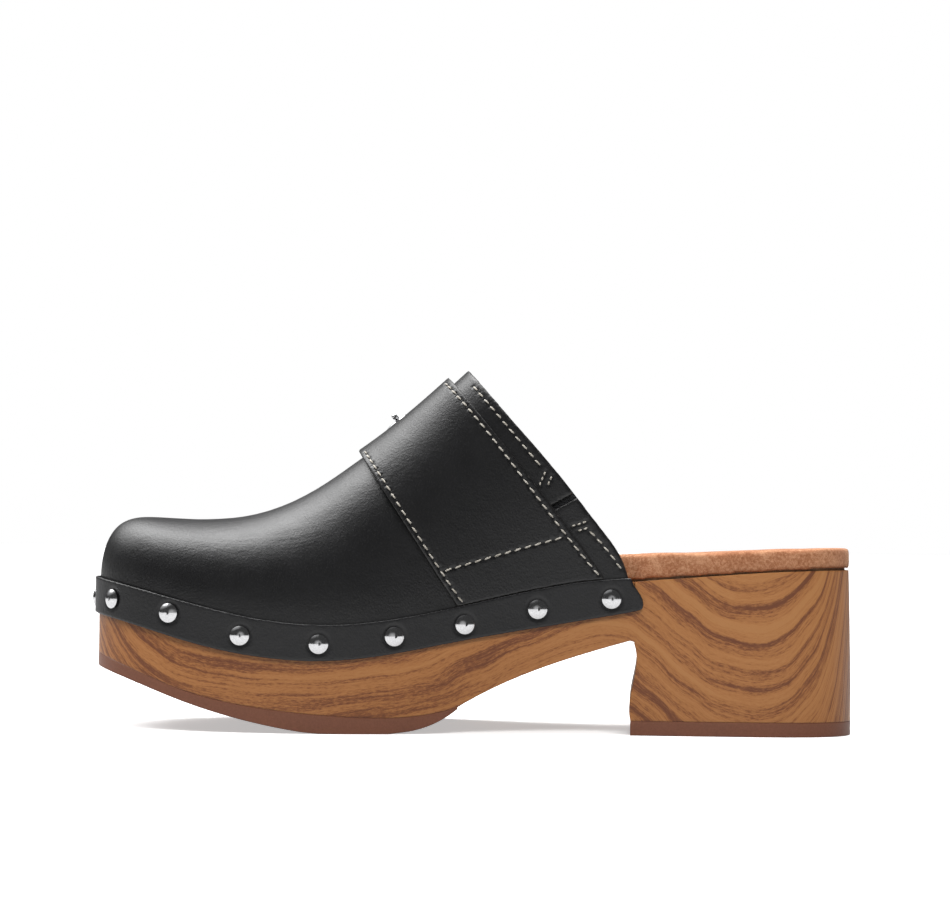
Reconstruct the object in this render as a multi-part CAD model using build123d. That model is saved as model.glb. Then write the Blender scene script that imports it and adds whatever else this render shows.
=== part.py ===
from build123d import *
import math
import os

import numpy as np

# Frame: millimetres, +Z up, ground at Z 0, toe towards -X, medial side at -Y (a right shoe).
# The origin is the centre of the heel's contact face.

# ---- driving dimensions ----------------------------------------------------------------------
TOE_X = -220.3            # foremost point of the wood
HEEL_X = 37.8             # rearmost point of the wood
TOE_Y = -6.0              # the toe's tip lies towards the medial side
MEDIAL_WIDEST = (-150.0, 44.0)     # x and half width where the medial side is widest
LATERAL_WIDEST = (-118.0, 50.0)
MEDIAL_WAIST = (-62.0, 31.5)
LATERAL_WAIST = (-50.0, 35.0)
HEEL_SIDE = (-2.0, 33.5)           # x and half width where the heel's rear rounding starts
TOE_POWER = 2.55          # superellipse power of the toe in plan: 2 is an ellipse, more is blunter
HEEL_POWER = 3.0
HEEL_TOP_X = 35.3         # the heel's rear leans forwards to here at HEEL_TOP_Z
HEEL_TOP_Z = 56.0

VAMP = 1.6                # leather thicknesses
LINING = 1.55
PUFF = 0.8
RAND = 1.35
STRAP = 1.95
STRAP_LINING = 0.8
GLUE = 0.05               # air left between layers that are glued
VAMP_SETBACK = 0.3        # the vamp's face lies this far inside the wood's edge
REBATE = 2.2              # depth of the wood's rebate for the vamp's margin
RIDGE_Y = -6.0            # the instep's ridge lies towards the medial side

# ---- side profiles, as (x, z) -----------------------------------------------------------------
WOOD_TOP = [(-226, 49.6), (-205, 45.2), (-181, 38.5), (-160, 34.2), (-143, 33.0), (-126, 34.0),
            (-95, 40.0), (-39, 51.2), (-16, 53.2), (3, 54.7), (23, 55.7), (44, 56.2)]
WOOD_FOREFOOT = [(-226, 27.6), (-218, 24.9), (-207, 20.8), (-185, 12.9), (-159, 7.9), (-134, 5.7),
                 (-113, 5.8), (-97, 8.9)]
ARCH = [(-97, 8.9), (-83.4, 16.2), (-66.8, 23.0), (-50.1, 28.5), (-39.5, 31.6)]
RUBBER_FRONT = [(-226, 22.6), (-217.5, 20.2), (-203, 15.4), (-190, 10.7), (-164, 3.4), (-148, 0.5)]
RUBBER_REAR = [(-115, 0.6), (-106, 2.9), (-97, 8.3)]
TREAD_FLAT = (-142.0, -120.0)      # the forefoot rests on the ground between these
BREAST = [(-36.2, 30.6), (-35.4, 26.5), (-36.2, 18.8), (-37.3, 0)]
BREAST_SKEW = 0.06        # the breast runs backwards towards the lateral side
TOP_PIECE = 4.8
RAND_TOP = [(-226, 51.8), (-207, 48.0), (-181, 41.5), (-160, 37.3), (-140, 36.1), (-122, 37.6),
            (-96, 42.7), (-41, 52.5)]
RAND_BOTTOM = [(-226, 39.5), (-210, 36.3), (-184, 29.2), (-163, 25.2), (-146, 24.0), (-128, 25.1),
               (-97, 30.8), (-60, 37.4), (-38, 41.4)]
RAND_END = [(-39.3, 52.6), (-36.9, 48.0), (-35.2, 44.3), (-35.6, 42.2)]
MARGIN_DEPTH = 4.0        # the rebate stops this far above the rand's lower edge
RIDGE = [(-220.0, 45.0), (-220.0, 51.0), (-219.6, 56.8), (-218.3, 61.8), (-215.7, 66.8), (-211.4, 70.2),
         (-205, 71.4), (-194, 70.9), (-184, 70.8), (-173.6, 71.6), (-159.8, 75.1), (-146, 82.0),
         (-135.8, 89.1), (-118.6, 101.8), (-105, 113.9), (-94.7, 123.2), (-75, 141), (-50, 160), (-25, 176)]
TOPLINE = [(-99, 128.5), (-91.2, 118.8), (-77.6, 103.0), (-63.9, 87.3), (-50.2, 69.9), (-43.3, 60.6),
           (-40.2, 53.0), (-39.3, 46)]
STRAP_FRONT = [(-137.0, 102.0), (-131.5, 93.8), (-113.6, 67.0), (-104.9, 53.8), (-93.0, 36.0)]
STRAP_REAR = [(-106.0, 126.0), (-100.7, 119.4), (-78.6, 92.4), (-59.7, 67.8), (-48.1, 52.0), (-42.0, 43.0)]
FOOTBED_TOP = [(-226, 53.0), (-205, 50.5), (-180, 45.0), (-160, 42.0), (-140, 41.2), (-120, 43.0),
               (-95, 48.6), (-65, 56.2), (-42, 60.2), (-16, 61.2), (4, 62.3), (27, 63.3), (44, 63.6)]

FAR = 70.0                # past every side of the shoe


def blend(t):
    """Smooth step from 0 to 1."""
    t = min(1.0, max(0.0, t))
    return t * t * (3 - 2 * t)


def curve(points, count=240):
    """A dense (x, z) array along the smooth curve through the points."""
    line = Spline(*[(x, z) for x, z in points])
    return np.array([tuple(line @ (i / count))[:2] for i in range(count + 1)])


def height(profile, x):
    """Height of a profile, from curve(), at x."""
    return float(np.interp(x, profile[:, 0], profile[:, 1]))


# ---- plan outline -----------------------------------------------------------------------------
def side_loop(side, per_part):
    """Points of one side in plan from the heel's rear to the toe's tip, side -1 medial, +1 lateral."""
    widest = MEDIAL_WIDEST if side < 0 else LATERAL_WIDEST
    waist = MEDIAL_WAIST if side < 0 else LATERAL_WAIST
    points = []
    for i in range(per_part):
        a = math.pi / 2 * (1 - i / per_part)
        x = HEEL_SIDE[0] + (HEEL_X - HEEL_SIDE[0]) * math.sin(a) ** (2 / HEEL_POWER)
        points.append((x, side * HEEL_SIDE[1] * math.cos(a) ** (2 / HEEL_POWER)))
    for i in range(per_part):
        x = HEEL_SIDE[0] + (widest[0] - HEEL_SIDE[0]) * i / per_part
        if x > waist[0]:
            t = blend((HEEL_SIDE[0] - x) / (HEEL_SIDE[0] - waist[0]))
            width = HEEL_SIDE[1] + (waist[1] - HEEL_SIDE[1]) * t
        else:
            t = blend((waist[0] - x) / (waist[0] - widest[0]))
            width = waist[1] + (widest[1] - waist[1]) * t
        points.append((x, side * width))
    for i in range(per_part):
        a = math.pi / 2 * i / per_part
        x = widest[0] - (widest[0] - TOE_X) * math.sin(a) ** (2 / TOE_POWER)
        reach = widest[1] - side * TOE_Y
        points.append((x, TOE_Y + side * reach * math.cos(a) ** (2 / TOE_POWER)))
    return points


DENSE = 120
ARC_POINTS = 15            # dense points per arc of the outline


def grown_loop(grow):
    """The closed plan outline as a dense array, moved outwards by grow, a number or a function of x."""
    loop = side_loop(-1, DENSE) + [(TOE_X, TOE_Y)]
    loop += list(reversed(side_loop(1, DENSE)))[:-1]
    loop = np.array(loop)
    ahead = np.roll(loop, -1, axis=0) - np.roll(loop, 1, axis=0)
    ahead /= np.linalg.norm(ahead, axis=1)[:, None]
    outwards = np.column_stack([ahead[:, 1], -ahead[:, 0]]) * -1
    amount = np.array([grow(x) if callable(grow) else grow for x in loop[:, 0]])
    return loop + outwards * amount[:, None]


def outline(grow, z):
    """The plan outline at height z as a closed wire of short arcs."""
    loop = [(x, y, z) for x, y in grown_loop(grow)]
    loop.append(loop[0])
    middle = ARC_POINTS // 2
    arcs = []
    for i in range(0, len(loop) - 1, ARC_POINTS):
        end = loop[min(i + ARC_POINTS, len(loop) - 1)]
        arcs.append(Edge.make_three_point_arc(loop[i], loop[i + middle], end))
    return Wire(arcs)


EDGES = {}


def edge_at(x, side, grow):
    """Half width in plan, as a signed y, of the grown outline at x."""
    if grow not in EDGES:
        loop = grown_loop(grow)
        tip = int(np.argmin(loop[:, 0]))
        EDGES[grow] = (loop[: tip + 1][::-1], loop[tip:])
    half = EDGES[grow][0 if side < 0 else 1]
    keep = half[:, 0] < HEEL_SIDE[0]
    return float(np.interp(x, half[keep, 0], half[keep, 1]))


def block(grow, low=-10.0, high=90.0):
    """An upright block in the plan outline moved outwards by grow."""
    return Solid.extrude(Face(outline(grow, low)), Vector(0, 0, high - low))


def side_prism(*edges, skew=0.0):
    """The closed side profile through the (x, z) point lists, carried right across the shoe in Y."""
    across = Vector(skew, 1, 0) * FAR
    return Solid.extrude(side_face(*edges).translate(-across), across * 2)


def side_face(*edges):
    """A closed face in the XZ plane from (x, z) point lists; a list of three or more is a smooth curve."""
    made = []
    for points in edges:
        corners = [(x, 0, z) for x, z in points]
        if len(corners) == 2:
            made.append(Edge.make_line(*corners))
        elif len(corners) > 2:
            made.append(Edge.make_spline(corners))
    ends = [(points[-1], following[0]) for points, following in zip(edges, edges[1:] + edges[:1])]
    for (x1, z1), (x2, z2) in ends:
        if math.hypot(x2 - x1, z2 - z1) > 1e-6:
            made.append(Edge.make_line((x1, 0, z1), (x2, 0, z2)))
    return Face(Wire(made))


# ---- upper ------------------------------------------------------------------------------------
RIDGE_LINE = curve(RIDGE)
BASE_LINE = curve(WOOD_TOP)
STATIONS = [-219.85, -219.1, -217.2, -213.5, -207.5, -198, -184, -167, -150, -133, -116, -99, -83, -68, -55,
            -43, -30]
INSTEP_STATIONS = 7       # the stations from this one on cover the strap
SHIFT_ENDS = -190.0        # stations in front of this one move with the layer's offset
SECTION_FLOOR = 14.0
ARC_STEPS = 12


def ridge_at(x, grow):
    """Height of the ridge of the layer whose face lies grow outside the vamp's face."""
    step = np.gradient(RIDGE_LINE, axis=0)
    step /= np.linalg.norm(step, axis=1)[:, None]
    moved = RIDGE_LINE + grow * np.column_stack([-step[:, 1], step[:, 0]])
    return float(np.interp(x, moved[:, 0], moved[:, 1]))


def dome_point(x, a, grow, foot=None):
    """The point at angle a (0 medial base, pi / 2 ridge, pi lateral base) over the dome at station x.

    The face lies grow outside the vamp's at the ridge, and foot outside it at the base."""
    base = height(BASE_LINE, x) + 1.0
    boxy = blend((-150 - x) / 50)
    instep = blend((x + 170) / 45)
    if a < math.pi / 2:
        power, lean, side = 2.25 + 0.35 * boxy, 0.12 * instep, -1
    else:
        power, lean, side = 2.05 + 0.5 * boxy, 0.26 * instep, 1
    reach = edge_at(x, side, (grow if foot is None else foot) - VAMP_SETBACK) - RIDGE_Y
    across = abs(math.cos(a)) ** (2 / power)
    up = max(0.0, math.sin(a)) ** (2 / power) if 1e-9 < a < math.pi - 1e-9 else 0.0
    across *= 1 - lean * up**1.5
    return x, RIDGE_Y + reach * across, base + (ridge_at(x, grow) - base) * up


def section_points(x, grow, foot):
    """Points over the upper's dome at station x, from the medial to the lateral side."""
    return [dome_point(x, math.pi * i / ARC_STEPS, grow, foot) for i in range(ARC_STEPS + 1)]


def last(grow, foot=None):
    """The closed shape under the upper's face, moved outwards by grow.

    With foot, the face moves out by foot at its base, and the shape leaves out the toe."""
    wires = []
    for station in STATIONS if foot is None else STATIONS[INSTEP_STATIONS:]:
        x = station - grow * blend((SHIFT_ENDS - station) / (SHIFT_ENDS - STATIONS[0]))
        points = section_points(x, grow, foot)
        start, end = points[0], points[-1]
        low_start, low_end = (x, start[1], SECTION_FLOOR), (x, end[1], SECTION_FLOOR)
        dome = Spline(*points)
        wires.append(Wire([Edge.make_line(low_start, start), dome.edge(),
                           Edge.make_line(end, low_end), Edge.make_line(low_end, low_start)]))
    return Solid.make_loft(wires)


def moved(points, dx=0.0, dz=0.0):
    """The (x, z) points shifted."""
    return [(x + dx, z + dz) for x, z in points]


def one(shape):
    """The single solid of a boolean's result."""
    solids = shape.solids()
    assert len(solids) == 1, f"{len(solids)} solids"
    return solids[0]


# ---- nails ------------------------------------------------------------------------------------
NAIL_X = [-213.6, -193.3, -169.2, -143.1, -118.2, -94.9, -70.6, -45.9]
NAIL_Z = [43.5, 39.3, 32.2, 29.7, 32.4, 36.5, 41.8, 45.5]
TOE_NAIL_Z = 43.4
HEAD_RADIUS = 3.2
HEAD_HEIGHT = 1.15
SHANK_RADIUS = 0.8
SHANK_HOLE = 0.85
SHANK_LENGTH = 8.5
POINT_LENGTH = 2.0


def nail_planes():
    """A plane for each nail: its origin on the rand's face and its z axis pointing outwards."""
    planes = [Plane((TOE_X - GLUE - RAND, TOE_Y, TOE_NAIL_Z), x_dir=(0, 1, 0), z_dir=(-1, 0, 0))]
    face = GLUE + RAND
    for side in (-1, 1):
        for x, z in zip(NAIL_X, NAIL_Z):
            y = edge_at(x, side, face)
            ahead, behind = edge_at(x - 0.5, side, face), edge_at(x + 0.5, side, face)
            outwards = Vector(side * (ahead - behind), side, 0)
            planes.append(Plane((x, y, z), x_dir=(0, 0, 1), z_dir=outwards))
    return planes


def rand_studs():
    """Nails with low domed heads, driven through the rand and the margin into the wood."""
    lip = 0.35
    sphere = (HEAD_RADIUS**2 + HEAD_HEIGHT**2) / (2 * HEAD_HEIGHT)
    ball = Solid.make_sphere(sphere, Plane((0, 0, lip + HEAD_HEIGHT - sphere)))
    head = ball & Solid.make_cylinder(HEAD_RADIUS, 4, Plane((0, 0, GLUE)))
    shank = Solid.make_cylinder(SHANK_RADIUS, SHANK_LENGTH + 1, Plane((0, 0, -SHANK_LENGTH)))
    tip = Plane((0, 0, -SHANK_LENGTH - POINT_LENGTH))
    point = Solid.make_cone(0, SHANK_RADIUS, POINT_LENGTH, tip)
    nail = one(head + shank + point)
    return Compound([nail.moved(plane.location) for plane in nail_planes()])


def nail_holes():
    """The nails' holes, as cylinders to cut away."""
    depth = SHANK_LENGTH + POINT_LENGTH + GLUE
    hole = Solid.make_cylinder(SHANK_HOLE, depth + 3, Plane((0, 0, -depth)))
    return [hole.moved(plane.location) for plane in nail_planes()]


# ---- sole -------------------------------------------------------------------------------------
BEHIND = 50.0              # an x behind the whole shoe
HEEL_CORE_Z = 40.0         # a height inside the wood over the heel
GROOVE_STEP = 8.0
GROOVE_WIDTH = 2.0
GROOVE_DEPTH = 1.2


def sole_block():
    """The sole's plan outline as a block, with the heel's rear leaning forwards."""
    lean = (HEEL_X - HEEL_TOP_X) / HEEL_TOP_Z
    rear = side_prism([(HEEL_X + 10 * lean, -10), (HEEL_X - 90 * lean, 90)],
                      [(HEEL_X - 90 * lean, 90), (-260, 90)], [(-260, 90), (-260, -10)])
    return one(block(0) & rear)


def between(lower, upper):
    """Everything between two side profiles given from toe to heel."""
    return side_prism(lower, list(reversed(upper)))


def grooves(first, last_x, half_width):
    """Straight tread grooves across the ground face, to cut away."""
    count = int((last_x - first) / GROOVE_STEP) + 1
    groove = Box(GROOVE_WIDTH, 2 * half_width, 2 * GROOVE_DEPTH)
    return [groove.moved(Location((first + i * GROOVE_STEP, 0, 0))) for i in range(count)]


def wooden_sole():
    """Platform, arch and heel in one piece of wood, with the rebate and the nails' holes."""
    heel_floor = TOP_PIECE + GLUE
    corner = BREAST[0]
    platform = side_prism(WOOD_TOP, [(BEHIND, corner[1]), corner], list(reversed(ARCH)),
                          list(reversed(WOOD_FOREFOOT)))
    breast = [point for point in BREAST if point[1] > heel_floor] + [(BREAST[-1][0], heel_floor)]
    heel = side_prism([(BEHIND, heel_floor), breast[-1]], list(reversed(breast)),
                      [(corner[0], HEEL_CORE_Z), (BEHIND, HEEL_CORE_Z)], skew=BREAST_SKEW)
    margin = side_prism(moved(RAND_BOTTOM, dz=MARGIN_DEPTH), [(-38.4, 70), (-226, 70)])
    wood = one(sole_block() & one(platform + heel))
    return one(wood - ((block(4) - block(-REBATE)) & margin) - nail_holes())


def forefoot_outsole():
    """Rubber under the forefoot, with a flat place to stand on and grooves across it."""
    top = moved(WOOD_FOREFOOT, dz=-GLUE)
    flat = [RUBBER_FRONT[-1], (TREAD_FLAT[0], 0)], [(TREAD_FLAT[0], 0), (TREAD_FLAT[1], 0)]
    side = side_prism(top, [top[-1], RUBBER_REAR[-1]], list(reversed(RUBBER_REAR)),
                      [RUBBER_REAR[0], (TREAD_FLAT[1], 0)], list(reversed(flat[1])),
                      list(reversed(flat[0])), list(reversed(RUBBER_FRONT)))
    return one((sole_block() & side) - grooves(-184, -112, 30))


def heel_top_piece():
    """Rubber lift under the heel, with its lower edges rounded."""
    side = side_prism([(BREAST[-1][0], 0), (BEHIND, 0)], [(BEHIND, TOP_PIECE), (BREAST[-1][0], TOP_PIECE)],
                      skew=BREAST_SKEW)
    return one((sole_block() & side) - grooves(-28, 30, 26))


def footbed_outline(grow):
    """How far the footbed's edge lies from the wood's edge: flush behind the upper, inside it in front."""
    return lambda x: grow - 0.9 - 3.8 * blend((-29 - x) / 10) - 2.2 * blend((-180 - x) / 25)


def footbed_block(grow, top):
    """An upright block in the footbed's outline."""
    return block(footbed_outline(grow), 20, top)


BOARD = 1.5
COVER = 1.0


def insole_board():
    """Stiff board glued on the wood."""
    return one(footbed_block(-COVER - 0.4, 80) & between(moved(WOOD_TOP, dz=GLUE), moved(WOOD_TOP, dz=BOARD)))


def footbed_foam():
    """Foam pad on the board."""
    lower = moved(WOOD_TOP, dz=BOARD + GLUE)
    upper = moved(FOOTBED_TOP, dz=-COVER - GLUE)
    return one(footbed_block(-COVER - GLUE, 80) & between(lower, upper))


def suede_footbed_cover():
    """Suede over the foam, turned down to the wood at the edge."""
    outer = footbed_block(0, 80) & between(moved(WOOD_TOP, dz=GLUE + 0.3), FOOTBED_TOP)
    hollow = footbed_block(-COVER, 80) & between(moved(WOOD_TOP, dz=-2), moved(FOOTBED_TOP, dz=-COVER))
    return one(outer - hollow)


# ---- upper pieces -----------------------------------------------------------------------------
PUFF_REAR = -178.0
SLIT_START = (-58.5, 79.9)     # on the topline, as (x, z)
SLIT_END = (-66.0, 75.8)
SLIT_LENGTH = 24.0
SLIT_WIDTH = 1.8
GORE = 0.8
GORE_LENGTH = 27.0
GORE_WIDTH = 19.0
TOPLINE_INSET_FLOOR = [(-226, 40), (-30, 40)]


def shell(inner, outer):
    """Leather between two offsets of the vamp's face."""
    return last(outer) - last(inner)


def upper_region(bottom):
    """In front of the topline and above a bottom profile, as a prism across the shoe."""
    front = side_prism(list(reversed(TOPLINE)), [TOPLINE[0], (-230, 130)], [(-230, 130), (-230, 15)],
                       [(-230, 15), (TOPLINE[-1][0], 15)])
    above = side_prism(bottom, [(bottom[-1][0], 140), (bottom[0][0], 140)])
    return front & above


def toe_box(front):
    """Everything in front of x front, with room on every side."""
    return Box(80, 200, 200).moved(Location((front - 40, 0, 50)))


def vamp():
    """The leather upper, down to its margin in the wood's rebate, with the slit over the gore."""
    bottom = moved(RAND_BOTTOM, dz=MARGIN_DEPTH + 0.1)
    leather = (shell(-VAMP, 0) & upper_region(bottom)) - nail_holes()
    return one(leather - medial_patch(SLIT_LENGTH, SLIT_WIDTH))


def medial_patch(length, width):
    """A rectangle that follows the slit from the topline forwards, carried through the medial side."""
    direction = Vector(SLIT_END[0] - SLIT_START[0], 0, SLIT_END[1] - SLIT_START[1]).normalized()
    middle = Vector(SLIT_START[0], 0, SLIT_START[1]) + direction * (length / 2 - 4)
    plane = Plane((middle.X, -35, middle.Z), x_dir=direction, z_dir=(0, -1, 0))
    return Box(length + 8, width, 60).moved(plane.location)


def gore_pocket(depth):
    """Leather between the vamp and depth under it, round the slit."""
    face = -VAMP - GLUE
    return shell(face - depth, face + (0.3 if depth > GORE else 0)) & medial_patch(GORE_LENGTH, GORE_WIDTH)


def elastic_gore():
    """Elastic under the slit, between vamp and lining."""
    return one(gore_pocket(GORE) & upper_region(TOPLINE_INSET_FLOOR))


def vamp_lining():
    """Lining inside the vamp, standing on the wood, thinner where the puff and the gore lie."""
    face = -VAMP - GLUE
    solid = shell(face - LINING, face) & upper_region(moved(WOOD_TOP, dz=0.1))
    solid -= shell(face - PUFF - GLUE, face + 0.5) & toe_box(PUFF_REAR + 0.1)
    return one(solid - medial_patch(SLIT_LENGTH, SLIT_WIDTH) - gore_pocket(GORE + 2 * GLUE))


def toe_puff():
    """Stiffener between lining and vamp round the toe."""
    face = -VAMP - GLUE
    return one(shell(face - PUFF, face) & upper_region(moved(WOOD_TOP, dz=0.6)) & toe_box(PUFF_REAR))


def rand():
    """Leather band round the wood's edge and over the upper's margin."""
    side = side_prism(RAND_BOTTOM, [RAND_BOTTOM[-1], RAND_END[-1]], list(reversed(RAND_END)),
                      [RAND_END[0], RAND_TOP[-1]], list(reversed(RAND_TOP)))
    return one(((block(GLUE + RAND) - block(GLUE)) & side) - nail_holes())


# ---- strap ------------------------------------------------------------------------------------
STRAP_X = -117.0               # where the strap's middle crosses the ridge
FOOT_SHARE = 0.5               # the strap is skived to this share of its offset at its foot
ACROSS = Vector(0.769, 0, 0.639).normalized()      # along the strap's width, up the ridge
CENTRE = Vector(STRAP_X, RIDGE_Y, ridge_at(STRAP_X, 0))
HALF_TONGUE = 8.5
LATERAL_STEPS = 40


def strap_layer(inner, outer):
    """Leather between two offsets of the vamp's face, both smaller at the strap's foot."""
    return last(outer, outer * FOOT_SHARE) - last(inner, inner * FOOT_SHARE)


def strap_region():
    """Between the strap's front and rear edges and above the rand, as a prism across the shoe."""
    sides = side_prism(STRAP_FRONT, list(reversed(STRAP_REAR)))
    above = side_prism(moved(RAND_TOP, dz=0.1), [(RAND_TOP[-1][0], 150), (RAND_TOP[0][0], 150)])
    return sides & above


def slice_line(shift):
    """Points of the vamp's face from the ridge down the lateral side, in a plane across the ridge."""
    origin = CENTRE + ACROSS * shift
    points = []
    for i in range(LATERAL_STEPS + 1):
        a = math.pi / 2 * (1 + i / LATERAL_STEPS)
        low, high = -190.0, -20.0
        while high - low > 1e-4:
            x = (low + high) / 2
            if (Vector(*dome_point(x, a, 0)) - origin).dot(ACROSS) > 0:
                high = x
            else:
                low = x
        points.append(dome_point(low, a, 0))
    return np.array(points)


def along(points, s):
    """The point at arc length s of a slice line."""
    steps = np.linalg.norm(np.diff(points, axis=0), axis=1)
    arc = np.concatenate([[0], np.cumsum(steps)])
    return Vector(*[float(np.interp(s, arc, points[:, i])) for i in range(3)])


SLICES = [slice_line(shift) for shift in (-HALF_TONGUE, 0, HALF_TONGUE)]


def strap_plane(s, lift=0.0):
    """At arc length s from the ridge: x along the strap's width, y away from the ridge, z outwards."""
    low, middle, high = [along(line, s) for line in SLICES]
    behind, ahead = along(SLICES[1], s + 1), along(SLICES[1], max(0.0, s - 1))
    width = (high - low).normalized()
    normal = width.cross(ahead - behind).normalized()
    if normal.Z < 0 and s < 60 or normal.Y < 0 and s >= 60:
        normal = normal * -1
    return Plane(middle + normal * lift, x_dir=width, z_dir=normal)


def strip(stations, ruled=True):
    """A strip along the lateral side through (s, half width, bottom, top) stations."""
    wires = []
    for s, half, bottom, top in stations:
        plane = strap_plane(s)
        corners = [(-half, 0, bottom), (half, 0, bottom), (half, 0, top), (-half, 0, top)]
        wires.append(Wire.make_polygon([plane.from_local_coords(Vector(*c)) for c in corners], close=True))
    return Solid.make_loft(wires, ruled=ruled)


SHOULDER = 9.0                 # the wide strap ends this far past the ridge
NECK = 6.0
NECK_RADIUS = 4.0
TONGUE = 1.7
STRAP_LIFT = STRAP_LINING + 4 * GLUE       # the strap's inner face above the vamp
STRAP_OUT = STRAP_LIFT + STRAP
STRAP_FOOT = STRAP_OUT * FOOT_SHARE
TIP = 66.0


def shoulder_cut(neck_length):
    """Cuts the wide strap off past the ridge, with rounded shoulders down to a neck if it has one."""
    beyond = Rectangle(80, 140, align=(Align.CENTER, Align.MIN))
    if not neck_length:
        return extrude(beyond, amount=110, both=True).moved(strap_plane(SHOULDER).location)
    cut = beyond - Rectangle(2 * HALF_TONGUE, neck_length, align=(Align.CENTER, Align.MIN))
    corners = [v for v in cut.vertices() if abs(v.Y) < 1e-6 and abs(abs(v.X) - HALF_TONGUE) < 1e-6]
    return extrude(fillet(corners, NECK_RADIUS), amount=110, both=True).moved(strap_plane(SHOULDER).location)


def tongue():
    """The narrow end: off the strap, under the frame, over the heel bar, along the chape to its tip."""
    rise = curve([(SHOULDER, STRAP_LIFT + 0.25), (14, 0.6), (18.5, 0.35), (22, 1.0), (26, 3.2), (30, 5.4),
                  (34, 6.4), (38, 6.0), (42, 4.4), (46, 3.3), (54, 2.8), (TIP, 2.6)])
    count = 16
    stations = []
    for i in range(count + 1):
        s = SHOULDER + (TIP - SHOULDER) * i / count
        stations.append((s, HALF_TONGUE, height(rise, s), height(rise, s) + TONGUE))
    return strip(stations, ruled=False)


def instep_strap():
    """The wide strap over the instep, with its tongue down the lateral side."""
    wide = one((strap_layer(STRAP_LIFT, STRAP_OUT) & strap_region()) - shoulder_cut(NECK))
    tip = strap_plane(TIP)
    rounding = Box(40, 40, 20) - Cylinder(HALF_TONGUE, 20).moved(Location((0, -HALF_TONGUE, 0)))
    rounding &= Box(40, HALF_TONGUE, 20, align=(Align.CENTER, Align.MAX, Align.CENTER))
    slot_length = SLOT[1] - SLOT[0]
    slot = Box(slot_length, 2 * SLOT_HALF, 14).moved(Location(((SLOT[0] + SLOT[1]) / 2, 0, 1)))
    strap = one(wide + tongue()) - rounding.moved(tip.location) - slot.moved(BUCKLE.location)
    for s in SPARE_HOLES:
        strap -= Cylinder(SLOT_HALF, 14).moved(strap_plane(s, 2.5).location)
    return one(strap)


def strap_lining():
    """Thin backing between the strap and the vamp."""
    solid = strap_layer(3 * GLUE, 3 * GLUE + STRAP_LINING) & strap_region()
    return one(solid - shoulder_cut(0))


# ---- buckle -----------------------------------------------------------------------------------
BAR_S = 34.0               # arc length from the ridge to the heel bar
BAR_LIFT = 3.2             # the bar's centre above the vamp
APEX_S = 12.5              # arc length to the frame's far end
APEX_LIFT = 5.4
BAR_RADIUS = 1.3
FRAME_HALF = 11.0          # half width between the arms' centres
CORNER = 2.5
RUNNING = 0.08             # clearance round the heel bar
CHAPE = 1.2
CHAPE_LIFT = 0.35
CHAPE_END = 88
CHAPE_HALF = 8.2
PRONG_RADIUS = 1.0
EYE_HALF = 1.3
SLOT = (-1.2, 12.5)        # the tongue's slot for the prong, from the bar towards the far end
SLOT_HALF = 1.7
SPARE_HOLES = (43.0, 58.0)
KEEPER_S = 51.0
KEEPER_WIDTH = 6.0


def buckle_plane():
    """Origin on the heel bar, x towards the frame's far end, y along the bar, z outwards."""
    bar, apex = strap_plane(BAR_S, BAR_LIFT), strap_plane(APEX_S, APEX_LIFT)
    towards = (apex.origin - bar.origin).normalized()
    width = bar.x_dir + apex.x_dir
    width = (width - towards * width.dot(towards)).normalized()
    outwards = towards.cross(width)
    if outwards.dot(bar.z_dir) < 0:
        outwards = outwards * -1
    return Plane(bar.origin, x_dir=towards, z_dir=outwards)


BUCKLE = buckle_plane()
FRAME_REACH = (strap_plane(APEX_S, APEX_LIFT).origin - BUCKLE.origin).length


def buckle_frame():
    """Round wire bent to a D: straight heel bar, two arms and a half round far end."""
    half, bend = FRAME_HALF, CORNER
    arm_end = FRAME_REACH - half
    diagonal = bend * (1 - math.sqrt(0.5))
    path = Wire([
        Edge.make_line((0, bend - half, 0), (0, half - bend, 0)),
        Edge.make_three_point_arc((0, half - bend, 0), (diagonal, half - diagonal, 0), (bend, half, 0)),
        Edge.make_line((bend, half, 0), (arm_end, half, 0)),
        Edge.make_three_point_arc((arm_end, half, 0), (FRAME_REACH, 0, 0), (arm_end, -half, 0)),
        Edge.make_line((arm_end, -half, 0), (bend, -half, 0)),
        Edge.make_three_point_arc((bend, -half, 0), (diagonal, diagonal - half, 0), (0, bend - half, 0)),
    ])
    section = Face(Wire(Edge.make_circle(BAR_RADIUS, Plane((0, bend - half, 0), z_dir=(0, 1, 0)))))
    return one(Solid.sweep(section, path)).moved(BUCKLE.location)


def buckle_prong():
    """Eye round the heel bar and a humped shaft that rests on the frame's far end."""
    bore = BAR_RADIUS + RUNNING
    eye = Solid.make_cylinder(bore + 1.0, 2 * EYE_HALF, Plane((0, -EYE_HALF, 0), z_dir=(0, 1, 0)))
    rest = BAR_RADIUS + PRONG_RADIUS + GLUE
    shaft = Edge.make_spline([Vector(1.6, 0, 0.1), Vector(6, 0, 1.0), Vector(12, 0, 2.7), Vector(18, 0, 3.2),
                              Vector(FRAME_REACH, 0, rest), Vector(FRAME_REACH + 2.2, 0, rest - 0.7)])
    section = Face(Wire(Edge.make_circle(PRONG_RADIUS, Plane(shaft @ 0, z_dir=shaft % 0))))
    tip = Solid.make_sphere(PRONG_RADIUS, Plane(shaft @ 1))
    hole = Solid.make_cylinder(bore, 4 * EYE_HALF, Plane((0, -2 * EYE_HALF, 0), z_dir=(0, 1, 0)))
    return one((eye + Solid.sweep(section, Wire(shaft)) + tip) - hole).moved(BUCKLE.location)


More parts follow.
